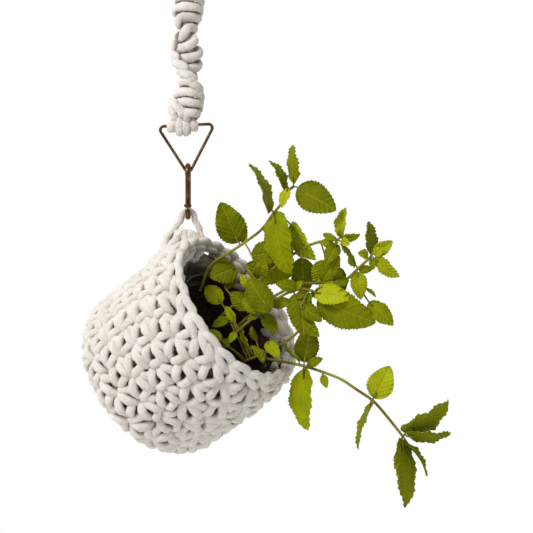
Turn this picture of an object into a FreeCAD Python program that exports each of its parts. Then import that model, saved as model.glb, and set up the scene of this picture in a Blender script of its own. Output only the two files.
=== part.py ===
"""Hanging macrame planter: a knotted strap, wire triangle and snap link carry a crocheted pod.

The pod holds a nursery pot of compost with a mint plant.
Millimetres. X runs to the right, Y away from the front and Z up.
The origin is the inner top of the hanging ring, the point that bears on a hook.
"""
import FreeCAD, Part
import math
import os
import Sketcher
from FreeCAD import Placement, Rotation, Vector

DIMENSIONS = [
    ("hoop_bend", 16.25, "hanging ring, centreline radius"),
    ("hoop_wire", 1.75, "hanging ring, wire radius"),
    ("hitch_radius", 8.0, "knot on the hanging ring, radius"),
    ("hitch_width", 12.0, "knot on the hanging ring, width"),
    ("hitch_bore", 3.4, "knot on the hanging ring, space round the wire"),
    ("sinnet_radius", 10.5, "mean radius of the knotted strap"),
    ("sinnet_top", 38.0, "depth of the strap's upper end"),
    ("sinnet_foot", 164.5, "depth of the strap's lower end"),
    ("bar_depth", 171.0, "depth of the triangle's bar"),
    ("bar_offset", -1.1, "sideways place of the bar's middle"),
    ("bar_tilt", 2.9, "tilt of the bar in degrees, right end up"),
    ("triangle_side", 46.0, "triangle, side between sharp corners"),
    ("triangle_wire", 1.2, "triangle, wire radius"),
    ("triangle_bend", 3.0, "triangle, corner bend radius"),
    ("knot_radius", 7.0, "lark's head knot on the bar, radius"),
    ("knot_width", 24.6, "lark's head knot on the bar, width"),
    ("knot_offset", -2.9, "knot centre from the bar's middle"),
    ("knot_bore", 1.55, "knot, space round the bar"),
    ("knot_round", 0.4, "knot ends, rounding as a share of the radius"),
    ("link_side", 0.4, "sideways place of the snap link"),
    ("link_top", 203.4, "depth of the link's top wire"),
    ("link_foot", 244.5, "depth of the link's bottom wire"),
    ("link_bend", 6.0, "snap link, bend radius"),
    ("link_wire", 2.2, "snap link, wire radius"),
    ("pin_depth", 235.4, "depth of the gate's pin"),
    ("pin_radius", 0.9, "gate pin radius"),
    ("pin_length", 6.0, "gate pin length with its heads"),
    ("pin_play", 0.05, "clearance round the gate pin"),
    ("tongue_width", 1.6, "thickness of the tongue under the gate"),
    ("tongue_radius", 1.8, "radius of the tongue's round end"),
    ("tongue_root", 1.0, "depth of the tongue inside the bottom bend"),
    ("gate_radius", 2.0, "gate rod radius"),
    ("gate_nose", 212.0, "depth of the gate's nose"),
    ("nose_gap", 0.5, "gap between the link's nose and the gate"),
    ("slot_width", 2.2, "slot in the gate"),
    ("slot_height", 6.0, "slot in the gate above the pin"),
    ("spring_radius", 0.7, "gate spring radius"),
    ("spring_seat", 0.1, "gap between the gate spring and the tongue"),
    ("spring_play", 0.5, "spare height for the gate spring"),
    ("loop_cord", 2.2, "basket loop, cord radius"),
    ("mouth_side", 35.2, "pod mouth centre, sideways"),
    ("mouth_back", -29.0, "pod mouth centre, front to back"),
    ("mouth_depth", 315.4, "pod mouth centre, depth"),
    ("mouth_rise", 31.6, "rise of the mouth's axis in degrees"),
    ("mouth_turn", -34.7, "turn of the mouth's axis in degrees"),
    ("pod_sag", 5.0, "sag of the pod below the mouth's axis"),
    ("pod_radius", 72.0, "pod, outer radius"),
    ("rim_radius", 68.5, "pod, outer radius at the rim"),
    ("shoulder", 16.0, "pod, depth where it reaches full width"),
    ("pod_depth", 117.0, "pod, depth of the outside"),
    ("pod_corner", 22.0, "pod, outer corner radius at the base"),
    ("cavity_radius", 60.5, "pod, inner radius"),
    ("cavity_depth", 106.0, "pod, inner depth"),
    ("edging_bend", 66.5, "chain edging, centreline radius"),
    ("edging_tube", 5.0, "chain edging, section radius"),
    ("crown_side", -3.5, "gathered crown, sideways place"),
    ("crown_depth", 269.5, "gathered crown, depth of its middle"),
    ("crown_width", 15.5, "gathered crown, half width"),
    ("crown_height", 12.0, "gathered crown, half height"),
    ("crown_thick", 8.5, "gathered crown, half thickness"),
    ("pot_sag", 12.8, "nursery pot, sag below the mouth's axis"),
    ("pot_set", 14.0, "nursery pot, rim below the pod's rim"),
    ("pot_rim", 50.5, "nursery pot, rim radius"),
    ("pot_band", 10.0, "nursery pot, height of the rim band"),
    ("pot_neck", 46.6, "nursery pot, radius under the band"),
    ("pot_base", 36.0, "nursery pot, base radius"),
    ("pot_height", 88.0, "nursery pot, height"),
    ("pot_wall", 1.3, "nursery pot, wall"),
    ("drain_radius", 3.5, "drain hole radius"),
    ("drain_circle", 24.0, "drain holes, circle radius"),
    ("drain_count", 6, "drain holes, number"),
    ("soil_drop", 10.0, "compost surface below the pot's rim"),
    ("soil_gap", 0.4, "gap between compost and pot"),
    ("stem_radius", 1.1, "mint stem radius"),
    ("leaf_thick", 0.7, "mint leaf thickness"),
]

doc = FreeCAD.newDocument("HangingPlanter")
sheet = doc.addObject("Spreadsheet::Sheet", "dims")
for row, (alias, value, note) in enumerate(DIMENSIONS, 1):
    sheet.set(f"A{row}", note)
    sheet.set(f"B{row}", str(value))
    sheet.setAlias(f"B{row}", alias)
doc.recompute()


def in_sheet(formula):
    """A lone alias gains the sheet's name; a formula already carries it."""
    return f"dims.{formula}" if formula.isidentifier() else formula


def size(formula):
    return float(sheet.evalExpression(in_sheet(formula)))


def bind(part, **formulas):
    for name, formula in formulas.items():
        part.setExpression(name, in_sheet(formula))
    return part


def solid(kind, label, place=Placement(), **formulas):
    part = doc.addObject(f"Part::{kind}", label)
    part.Placement = place
    return bind(part, **formulas)


def cut(label, base, tool):
    part = doc.addObject("Part::Cut", label)
    part.Base = base
    part.Tool = tool
    return part


def fuse(label, pieces):
    part = doc.addObject("Part::MultiFuse", label)
    part.Shapes = pieces
    return part


def along(axis, middle, length=0.0):
    """Placement that lays a local Z axis along axis, centred on middle."""
    turn = Rotation(Vector(0, 0, 1), axis)
    return Placement(middle - axis * (length / 2), turn)


def spun(sketch_points, label, place):
    """Revolved body. The points are pairs of sheet formulas: radius and height."""
    body = doc.addObject("PartDesign::Body", label)
    plane = next(f for f in body.Origin.OriginFeatures if f.Role == "XZ_Plane")
    sketch = body.newObject("Sketcher::SketchObject", f"{label}_profile")
    sketch.AttachmentSupport = [(plane, "")]
    sketch.MapMode = "FlatFace"
    spots = [Vector(size(a), size(b), 0) for a, b in sketch_points]
    count = len(spots)
    for i in range(count):
        sketch.addGeometry(Part.LineSegment(spots[i], spots[(i + 1) % count]), False)
    for i in range(count):
        sketch.addConstraint(Sketcher.Constraint("Coincident", i, 2, (i + 1) % count, 1))
    for i, formulas in enumerate(sketch_points):
        for kind, spot, formula, axis in (("DistanceX", spots[i].x, formulas[0], -2),
                                          ("DistanceY", spots[i].y, formulas[1], -1)):
            if abs(spot) < 1e-9:
                sketch.addConstraint(Sketcher.Constraint("PointOnObject", i, 1, axis))
                continue
            index = sketch.addConstraint(Sketcher.Constraint(kind, -1, 1, i, 1, spot))
            sketch.setExpression(f"Constraints[{index}]", formula)
    turned = body.newObject("PartDesign::Revolution", f"{label}_turned")
    turned.Profile = sketch
    turned.ReferenceAxis = (sketch, ["V_Axis"])
    turned.Angle = 360
    body.Placement = place
    doc.recompute()
    return body


def round_edges(body, radius, wanted):
    """Fillet on the tip's circular edges, chosen by radius and height in the body's own frame."""
    base = body.Tip
    names = [f"Edge{n}" for n, edge in enumerate(base.Shape.Edges, 1)
             if any(hasattr(edge.Curve, "Radius") and abs(edge.Curve.Radius - r) < 0.01
                    and abs(edge.Curve.Center.z - z) < 0.01 for r, z in wanted)]
    fillet = body.newObject("PartDesign::Fillet", f"{body.Label}_round{radius.replace('.', '_')}")
    fillet.Base = (base, names)
    bind(fillet, Radius=radius)
    doc.recompute()


def arc_bend(label, hub, axis, middle_way, turn, bend, wire):
    """Bent wire: part of a torus about hub, centred on middle_way."""
    first_way = Rotation(axis, -turn / 2).multVec(middle_way)
    frame = Rotation(first_way, axis.cross(first_way), axis, "ZXY")
    part = solid("Torus", label, Placement(hub, frame), Radius1=bend, Radius2=wire)
    part.Angle3 = turn
    return part


def flowing(points, radius, label):
    """Tube of straight runs joined by tangent arcs."""
    spots = [Vector(*p) for p in points]
    edges = []
    radii = []
    start = spots[0]
    for before, corner, after in zip(spots, spots[1:], spots[2:]):
        into = (corner - before).normalize()
        out = (after - corner).normalize()
        half_turn = into.getAngle(out) / 2
        reach = 0.45 * min((corner - before).Length, (after - corner).Length)
        radii.append(reach / math.tan(half_turn))
        entry = corner - into * reach
        leave = corner + out * reach
        inner = (out - into).normalize()
        bow = radii[-1] * (1 / math.cos(half_turn) - 1)
        edges.append(Part.LineSegment(start, entry).toShape())
        edges.append(Part.Arc(entry, corner + inner * bow, leave).toShape())
        start = leave
    edges.append(Part.LineSegment(start, spots[-1]).toShape())
    route = Part.Wire(edges)
    ring = Part.Wire(Part.Circle(spots[0], spots[1] - spots[0], radius).toShape())
    shape = Part.Wire(route).makePipeShell([ring], True, True)
    ratio = shape.Volume / (math.pi * radius ** 2 * route.Length)
    print(f"{label}: length {route.Length:.1f}, tightest radius {min(radii):.1f}, fill {ratio:.3f}")
    part = doc.addObject("Part::Feature", label)
    part.Shape = shape
    return part


# Frames shared by several pieces ------------------------------------------------------------
tilt = math.radians(size("bar_tilt"))
bar_axis = Vector(math.cos(tilt), 0, math.sin(tilt))
bar_down = Vector(math.sin(tilt), 0, -math.cos(tilt))
bar_middle = Vector(size("bar_offset"), 0, -size("bar_depth"))

rise = math.radians(size("mouth_rise"))
swing = math.radians(size("mouth_turn"))
mouth_axis = Vector(math.cos(rise) * math.cos(swing), math.cos(rise) * math.sin(swing), math.sin(rise))
sag_axis = Vector(0, 1, 0).cross(mouth_axis).normalize()
mouth_turned = Rotation(sag_axis, mouth_axis.cross(sag_axis), mouth_axis, "ZXY")
mouth_centre = Vector(size("mouth_side"), size("mouth_back"), -size("mouth_depth"))


def at_mouth(sag, depth=0.0):
    return Placement(mouth_centre + sag_axis * sag - mouth_axis * depth, mouth_turned)


# Hanging ring and the knot on it ------------------------------------------------------------
hoop_centre = Vector(0, 0, -(size("hoop_bend") - size("hoop_wire")))
hoop_foot = hoop_centre - Vector(0, 0, size("hoop_bend"))
solid("Torus", "hanging_ring", along(Vector(0, 1, 0), hoop_centre),
      Radius1="hoop_bend", Radius2="hoop_wire")


def wrapped_knot(label, axis, middle, radius, width, bore):
    """Barrel of a cord hitched round a wire, with rounded ends and a free bore."""
    barrel = solid("Cylinder", f"{label}_barrel", along(axis, middle, size(width)),
                   Radius=radius, Height=width)
    hole = solid("Cylinder", f"{label}_hole", along(axis, middle, 2 * size(width)),
                 Radius=bore, Height=f"2 * dims.{width}")
    doc.recompute()
    rounded = doc.addObject("Part::Fillet", f"{label}_rounded")
    rounded.Base = barrel
    end_edges = [n for n, e in enumerate(barrel.Shape.Edges, 1) if e.isClosed()]
    end_round = size(radius) * size("knot_round")
    rounded.Edges = [(n, end_round, end_round) for n in end_edges]
    return cut(label, rounded, hole)


wrapped_knot("ring_knot", Vector(1, 0, 0), hoop_foot, "hitch_radius", "hitch_width", "hitch_bore")
wrapped_knot("triangle_knot", bar_axis, bar_middle + bar_axis * size("knot_offset"),
             "knot_radius", "knot_width", "knot_bore")

# Knotted strap: one plain round body over its two core cords --------------------------------
solid("Cylinder", "macrame_sinnet", Placement(Vector(0, 0, -size("sinnet_foot")), Rotation()),
      Radius="sinnet_radius", Height="dims.sinnet_foot - dims.sinnet_top")


# Wire triangle: three straight sides and three bent corners ---------------------------------
def triangle():
    side = size("triangle_side")
    straight = "dims.triangle_side - 2 * dims.triangle_bend / tan(30deg)"
    corners = [bar_middle - bar_axis * side / 2, bar_middle + bar_axis * side / 2,
               bar_middle + bar_down * (side * math.sqrt(3) / 2)]
    centre = (corners[0] + corners[1] + corners[2]) * (1 / 3)
    pieces = []
    for i, corner in enumerate(corners):
        following = corners[(i + 1) % 3]
        way = (following - corner).normalize()
        run = side - 2 * size("triangle_bend") / math.tan(math.radians(30))
        pieces.append(solid("Cylinder", f"triangle_side_{i}", along(way, (corner + following) * 0.5, run),
                            Radius="triangle_wire", Height=straight))
        outward = (corner - centre).normalize()
        hub = corner - outward * (size("triangle_bend") / math.sin(math.radians(30)))
        pieces.append(arc_bend(f"triangle_bend_{i}", hub, Vector(0, 1, 0), outward, 120,
                               "triangle_bend", "triangle_wire"))
    return fuse("triangle_ring", pieces)


triangle()


# Snap link: an oblong wire hook in the plane across the triangle, with a sprung gate ---------
def link_point(back, depth, side=0.0):
    return Vector(size("link_side") + side, back, -depth)


def snap_link():
    bend = size("link_bend")
    upper = size("link_top") + bend
    lower = size("link_foot") - bend
    across = Vector(1, 0, 0)
    straight = "dims.link_foot - dims.link_top - 2 * dims.link_bend"
    nose = "dims.gate_nose - dims.nose_gap - dims.link_top - dims.link_bend"
    nose_foot = size("dims.gate_nose - dims.nose_gap")
    pin = size("pin_depth")
    tongue_rise = "dims.link_foot - dims.link_bend + dims.tongue_root - dims.pin_depth"
    tongue = size("tongue_radius")
    wire = fuse("link_wire", [
        solid("Cylinder", "link_back", Placement(link_point(bend, lower), Rotation()),
              Radius="link_wire", Height=straight),
        solid("Cylinder", "link_nose", Placement(link_point(-bend, nose_foot), Rotation()),
              Radius="link_wire", Height=nose),
        arc_bend("link_top_bend", link_point(0, upper), across, Vector(0, 0, 1), 180,
                 "link_bend", "link_wire"),
        arc_bend("link_foot_bend", link_point(0, lower), across, Vector(0, 0, -1), 180,
                 "link_bend", "link_wire"),
        solid("Box", "tongue_plate",
              Placement(link_point(-bend - tongue, lower + size("tongue_root"), -size("tongue_width") / 2),
                        Rotation()),
              Length="tongue_width", Width="2 * dims.tongue_radius", Height=tongue_rise),
        solid("Cylinder", "tongue_end", along(across, link_point(-bend, pin), size("tongue_width")),
              Radius="tongue_radius", Height="tongue_width"),
    ])
    bore = solid("Cylinder", "tongue_bore", along(across, link_point(-bend, pin), size("pin_length")),
                 Radius="dims.pin_radius + dims.pin_play", Height="pin_length")
    cut("clip_body", wire, bore)
    solid("Cylinder", "clip_pin", along(across, link_point(-bend, pin), size("pin_length")),
          Radius="pin_radius", Height="pin_length")
    foot = pin + size("gate_radius")
    rod = solid("Cylinder", "gate_rod", Placement(link_point(-bend, foot), Rotation()),
                Radius="gate_radius", Height="dims.pin_depth + dims.gate_radius - dims.gate_nose")
    reach = 1.5 * size("gate_radius")
    slot = solid("Box", "gate_slot",
                 Placement(link_point(-bend - reach, pin + reach, -size("slot_width") / 2), Rotation()),
                 Length="slot_width", Width="3 * dims.gate_radius",
                 Height="1.5 * dims.gate_radius + dims.slot_height")
    hole = solid("Cylinder", "gate_bore", along(across, link_point(-bend, pin), size("pin_length")),
                 Radius="dims.pin_radius + dims.pin_play", Height="pin_length")
    cut("clip_gate", rod, fuse("gate_cuts", [slot, hole]))
    spring_foot = pin - tongue - size("spring_seat")
    solid("Cylinder", "gate_spring", Placement(link_point(-bend, spring_foot), Rotation()),
          Radius="spring_radius", Height="dims.slot_height - dims.tongue_radius - dims.spring_play")


snap_link()

# Basket loop: one cord over the link's foot, its two legs worked into the pod's crown --------
LOOP_ROUTE = [
    (-12.8, 0.0, -263.0), (-12.0, 0.0, -257.0), (-8.8, 0.0, -251.2), (-4.7, 0.0, -247.0),
    (-4.7, 0.0, -242.3), (-1.7, 0.0, -239.3), (2.5, 0.0, -239.3), (5.5, 0.0, -242.3),
    (5.6, 0.0, -247.0), (8.8, 0.0, -251.6), (10.5, 0.0, -257.2), (10.8, 0.0, -263.4),
]
flowing(LOOP_ROUTE, size("loop_cord"), "basket_loop")


# Crocheted pod: a thick-walled cup, its gathered crown and the chain edging round the mouth --
def pod():
    place = at_mouth(size("pod_sag"))
    outside = spun([("0", "-dims.pod_depth"), ("dims.pod_radius", "-dims.pod_depth"),
                    ("dims.pod_radius", "-dims.shoulder"), ("dims.rim_radius", "0"), ("0", "0")],
                   "pod_outside", place)
    round_edges(outside, "pod_corner", [(size("pod_radius"), -size("pod_depth"))])
    crown_middle = Vector(size("crown_side"), 0, -size("crown_depth"))
    crown = solid("Ellipsoid", "pod_crown", Placement(crown_middle, Rotation()),
                  Radius1="crown_height", Radius2="crown_width", Radius3="crown_thick")
    hollow = spun([("0", "-dims.cavity_depth"), ("dims.cavity_radius", "-dims.cavity_depth"),
                   ("dims.cavity_radius", "dims.pod_corner"), ("0", "dims.pod_corner")],
                  "pod_hollow", place)
    round_edges(hollow, "pod_corner", [(size("cavity_radius"), -size("cavity_depth"))])
    cut("crochet_basket", fuse("pod_bulk", [outside, crown]), hollow)
    solid("Torus", "basket_edging", place, Radius1="edging_bend", Radius2="edging_tube")


pod()


# Nursery pot with a rim band and drain holes, and the compost in it ---------------------------
def nursery_pot():
    place = at_mouth(size("pot_sag"), size("pot_set"))
    wall = "dims.pot_wall"
    pot = spun([("0", "-dims.pot_height"), ("dims.pot_base", "-dims.pot_height"),
                ("dims.pot_neck", "-dims.pot_band"), ("dims.pot_rim", "-dims.pot_band"),
                ("dims.pot_rim", "0"), (f"dims.pot_rim - {wall}", "0"),
                (f"dims.pot_rim - {wall}", f"-dims.pot_band + {wall}"),
                (f"dims.pot_neck - {wall}", f"-dims.pot_band + {wall}"),
                (f"dims.pot_base - {wall}", f"-dims.pot_height + {wall}"),
                ("0", f"-dims.pot_height + {wall}")], "nursery_pot", place)
    plane = next(f for f in pot.Origin.OriginFeatures if f.Role == "XY_Plane")
    sketch = pot.newObject("Sketcher::SketchObject", "drain_hole")
    sketch.AttachmentSupport = [(plane, "")]
    sketch.MapMode = "FlatFace"
    circle = Part.Circle(Vector(size("drain_circle"), 0, 0), Vector(0, 0, 1), size("drain_radius"))
    sketch.addGeometry(circle, False)
    sketch.addConstraint(Sketcher.Constraint("PointOnObject", 0, 3, -1))
    reach = sketch.addConstraint(Sketcher.Constraint("DistanceX", -1, 1, 0, 3, size("drain_circle")))
    width = sketch.addConstraint(Sketcher.Constraint("Radius", 0, size("drain_radius")))
    sketch.setExpression(f"Constraints[{reach}]", "dims.drain_circle")
    sketch.setExpression(f"Constraints[{width}]", "dims.drain_radius")
    doc.recompute()
    before = pot.Shape.Volume
    drain = pot.newObject("PartDesign::Pocket", "drain")
    drain.Profile = sketch
    bind(drain, Length="2 * dims.pot_height")
    drain.SideType = "Symmetric"
    pot.Tip = drain
    doc.recompute()
    ring = pot.newObject("PartDesign::PolarPattern", "drain_ring")
    ring.Originals = [drain]
    ring.Axis = (next(f for f in pot.Origin.OriginFeatures if f.Role == "Z_Axis"), [""])
    ring.Angle = 360
    bind(ring, Occurrences="drain_count")
    pot.Tip = ring
    doc.recompute()
    drilled = size("drain_count") * math.pi * size("drain_radius") ** 2 * size("pot_wall")
    print(f"drain holes cut {before - pot.Shape.Volume:.0f} of {drilled:.0f} cubic mm")
    slope = "(dims.pot_neck - dims.pot_base) / (dims.pot_height - dims.pot_band)"
    inset = f"({wall} + dims.soil_gap)"
    foot = f"dims.pot_height - {inset}"
    spun([("0", f"-({foot})"), (f"dims.pot_base - {inset}", f"-({foot})"),
          (f"dims.pot_neck - {inset} - ({slope}) * (dims.soil_drop - dims.pot_band)", "-dims.soil_drop"),
          ("0", "-dims.soil_drop")], "potting_soil", place)


nursery_pot()

# Mint: each stem's route is followed by the leaves that grow from it -------------------------
# A leaf is its foot, its tip and its width.
MINT = {
    "upright": ([
        (9, -2, -306), (16, -16, -287), (22, -20, -280), (42, -28, -268), (60, -35, -255),
        (68, -40, -243), (75, -43, -235), (81, -46, -224), (85, -47, -221),
    ], [
        ((41, -29, -265), (28, -38, -236), 22), ((44, -25, -265), (47, -28, -255), 5),
        ((52, -33, -276), (73, -41, -272), 19), ((68, -44, -243), (79, -52, -288), 23),
        ((67, -40, -240), (53, -36, -204), 6), ((75, -50, -237), (80, -48, -223), 8),
        ((79, -46, -222), (68, -42, -201), 8), ((84, -47, -218), (83, -50, -191), 10),
        ((88, -48, -223), (115, -58, -239), 22), ((82, -40, -251), (99, -44, -278), 13),
    ]),
    "back": ([
        (19, -11, -331), (40, -26, -312), (62, -38, -290), (92, -46, -269), (106, -48, -264),
        (120, -50, -263),
    ], [
        ((121, -50, -260), (124, -47, -239), 3), ((123, -51, -262), (135, -55, -260), 6),
        ((122, -51, -266), (132, -56, -283), 5), ((118, -50, -266), (110, -58, -281), 11),
        ((102, -42, -297), (110, -42, -280), 15), ((91, -36, -278), (93, -38, -304), 18),
        ((39, -18, -285), (20, -24, -292), 19), ((83, -26, -291), (48, -28, -285), 19),
        ((116, -40, -304), (120, -38, -285), 14), ((39, -18, -294), (30, -20, -300), 7),
    ]),
    "side": ([
        (29, -8, -343), (50, -26, -322), (66, -34, -309), (88, -42, -297), (108, -48, -297),
        (125, -52, -295), (134, -54, -286), (145, -56, -276),
    ], [
        ((145, -56, -273), (144, -52, -250), 8), ((147, -57, -274), (160, -60, -265), 10),
        ((147, -57, -278), (164, -62, -292), 8), ((132, -54, -283), (127, -50, -278), 5),
        ((134, -57, -289), (136, -63, -308), 12), ((141, -55, -301), (148, -56, -307), 4),
        ((116, -45, -287), (123, -48, -303), 9), ((103, -56, -309), (144, -66, -327), 24),
        ((143, -60, -312), (160, -66, -328), 13), ((97, -52, -307), (117, -54, -300), 10),
    ]),
    "middle": ([
        (25, -20, -349), (48, -36, -328), (66, -44, -313), (78, -48, -305), (90, -52, -301),
        (99, -57, -303),
    ], [
        ((101, -58, -304), (126, -66, -308), 15), ((50, -46, -295), (65, -53, -318), 19),
        ((88, -56, -305), (92, -66, -335), 20), ((61, -38, -322), (71, -40, -336), 10),
        ((36, -32, -305), (49, -35, -317), 13), ((15, -14, -300), (27, -20, -312), 13),
        ((44, -40, -310), (56, -44, -319), 10), ((90, -62, -315), (105, -66, -325), 12),
        ((92, -48, -325), (103, -52, -338), 10),
    ]),
    "low": ([
        (38, -15, -363), (43, -18, -360), (60, -33, -353), (74, -42, -345), (83, -47, -340),
        (92, -52, -330),
    ], [
        ((31, -28, -316), (38, -31, -327), 7), ((42, -22, -333), (48, -25, -351), 7),
        ((33, -25, -325), (21, -25, -331), 5), ((19, -30, -334), (27, -34, -342), 7),
        ((29, -29, -341), (33, -32, -347), 6), ((51, -26, -332), (55, -27, -342), 5),
        ((64, -41, -343), (72, -50, -354), 8), ((52, -34, -346), (61, -41, -358), 8),
    ]),
    "trailing": ([
        (41, -3, -355), (52, -14, -353), (63, -24, -357), (82, -31, -360), (92, -36, -362),
        (106, -42, -366), (122, -47, -372), (132, -50, -379), (146, -54, -388), (154, -56, -397),
        (166, -58, -412), (169, -58, -416),
    ], [
        ((92, -38, -365), (93, -45, -409), 17), ((93, -37, -359), (97, -42, -332), 18),
        ((89, -36, -359), (76, -37, -344), 6), ((95, -40, -361), (106, -44, -356), 6),
        ((107, -44, -369), (110, -47, -378), 6), ((147, -54, -386), (158, -58, -363), 19),
        ((144, -55, -390), (133, -56, -423), 9), ((171, -58, -414), (204, -62, -392), 9),
        ((169, -58, -419), (172, -62, -468), 15), ((173, -59, -416), (204, -63, -415), 9),
        ((172, -57, -420), (189, -55, -444), 7),
    ]),
}


def leaf_blade(foot, tip, width, turn):
    """Flat pointed plate between two arcs, turned about its midrib."""
    length = (tip - foot).Length
    rib = (tip - foot).normalize()
    face = (Vector(0, -1, 0) + rib * rib.y).normalize()
    face = Rotation(rib, turn).multVec(face)
    edge = face.cross(rib)
    middle = (foot + tip) * 0.5
    sides = [Part.Arc(foot, middle + edge * (width / 2), tip).toShape(),
             Part.Arc(tip, middle - edge * (width / 2), foot).toShape()]
    thick = size("leaf_thick")
    plate = Part.Face(Part.Wire(sides)).extrude(face * thick)
    plate.translate(face * (-thick / 2))
    return plate


for stem, (route, leaves) in MINT.items():
    flowing(route, size("stem_radius"), f"mint_stem_{stem}")
    plates = [leaf_blade(Vector(*foot), Vector(*tip), width, 14 * math.sin(2.4 * i))
              for i, (foot, tip, width) in enumerate(leaves)]
    bunch = doc.addObject("Part::Feature", f"mint_leaves_{stem}")
    bunch.Shape = Part.makeCompound(plates)

NODES = ["hanging_ring", "ring_knot", "macrame_sinnet", "triangle_knot", "triangle_ring",
         "clip_body", "clip_pin", "clip_gate", "gate_spring", "basket_loop", "crochet_basket",
         "basket_edging", "nursery_pot", "potting_soil"]
NODES += [f"mint_{kind}_{stem}" for kind in ("stem", "leaves") for stem in MINT]

doc.recompute()
for part in doc.Objects:
    if any(flag in part.State for flag in ("Invalid", "Error")):
        raise RuntimeError(f"{part.Label}: {part.State}")
os.makedirs("parts", exist_ok=True)
for name in NODES:
    shape = doc.getObjectsByLabel(name)[0].Shape
    if shape.isNull() or not shape.isValid() or not shape.Solids:
        raise RuntimeError(f"{name} has no valid solid")
    box = shape.BoundBox
    print(f"{name}: {len(shape.Solids)} solid(s), {shape.Volume / 1000:.2f} ml, "
          f"{box.XLength:.0f} x {box.YLength:.0f} x {box.ZLength:.0f}")
    shape.exportStep(f"parts/{name}.step")
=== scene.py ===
"""Hanging macrame planter: the visible cords, crochet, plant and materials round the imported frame.

Metres. The frame holds the hardware, the pot and the mint's stems; soft pieces replace their solids.
"""
import bpy
import math
import random
from mathutils import Matrix, Vector, noise
from mathutils.bvhtree import BVHTree


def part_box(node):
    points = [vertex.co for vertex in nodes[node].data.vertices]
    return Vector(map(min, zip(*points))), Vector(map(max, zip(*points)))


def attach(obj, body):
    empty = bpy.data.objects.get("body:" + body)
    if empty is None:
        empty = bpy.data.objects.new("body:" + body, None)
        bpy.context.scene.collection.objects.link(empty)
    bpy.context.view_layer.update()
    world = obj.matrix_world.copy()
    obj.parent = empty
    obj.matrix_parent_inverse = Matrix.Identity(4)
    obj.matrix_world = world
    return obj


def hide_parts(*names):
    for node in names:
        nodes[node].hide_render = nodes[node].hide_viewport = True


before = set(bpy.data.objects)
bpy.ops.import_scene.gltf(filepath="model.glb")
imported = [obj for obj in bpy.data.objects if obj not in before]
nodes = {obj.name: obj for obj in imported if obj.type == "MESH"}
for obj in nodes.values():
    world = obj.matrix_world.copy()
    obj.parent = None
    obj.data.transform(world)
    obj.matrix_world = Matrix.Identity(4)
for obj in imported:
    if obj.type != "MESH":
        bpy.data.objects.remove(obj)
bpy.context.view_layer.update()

MM = 0.001
TAU = 2 * math.pi
UP = Vector((0, 0, 1))
FRONT = Vector((0, -1, 0))


def mm(*place):
    return Vector(place) * MM


def clamp(value, low=0.0, high=1.0):
    return max(low, min(high, value))


def ease(value):
    value = clamp(value)
    return value * value * (3 - 2 * value)


# Camera --------------------------------------------------------------------------------------
def place_camera():
    camera = bpy.data.objects.new("camera", bpy.data.cameras.new("camera"))
    camera.data.sensor_width = 36
    camera.data.lens = 168.9
    camera.data.clip_start = 0.05
    camera.location = (0.0632, -2.0, -0.284)
    camera.rotation_euler = (math.radians(90), 0, 0)
    bpy.context.scene.collection.objects.link(camera)
    bpy.context.scene.camera = camera


place_camera()


# Routes and strands --------------------------------------------------------------------------
def spline_points(name, places):
    """Points of one smooth NURBS spline with the given control points."""
    curve = bpy.data.curves.new(name, "CURVE")
    curve.dimensions = "3D"
    curve.resolution_u = 16
    spline = curve.splines.new("NURBS")
    spline.points.add(len(places) - 1)
    for point, place in zip(spline.points, places):
        point.co = (*place, 1)
    spline.order_u = 3
    spline.use_endpoint_u = True
    holder = bpy.data.objects.new(name, curve)
    mesh = bpy.data.meshes.new_from_object(holder)
    line = [v.co.copy() for v in mesh.vertices]
    bpy.data.meshes.remove(mesh)
    bpy.data.objects.remove(holder)
    bpy.data.curves.remove(curve)
    return line


def through(places, steps):
    """Smooth line through a few places, with the given number of steps in each span."""
    ends = [2 * places[0] - places[1], *places, 2 * places[-1] - places[-2]]
    line = []
    for a, b, c, d in zip(ends, ends[1:], ends[2:], ends[3:]):
        for i in range(steps):
            t = i / steps
            line.append(0.5 * (2 * b + (c - a) * t + (2 * a - 5 * b + 4 * c - d) * t * t
                               + (3 * b - a - 3 * c + d) * t ** 3))
    line.append(places[-1].copy())
    return line


FLUFF = 0.16          # how far tufts stand out, as a share of a strand's radius
TUFTS = 560.0         # tufts along a metre of strand
TUFTS_ROUND = 2.1     # how closely they lie round it
END_SWELL = 0.42      # a tapered strand's share of its width at its ends
SWELL = 0.58          # and what it gains from there


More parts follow.
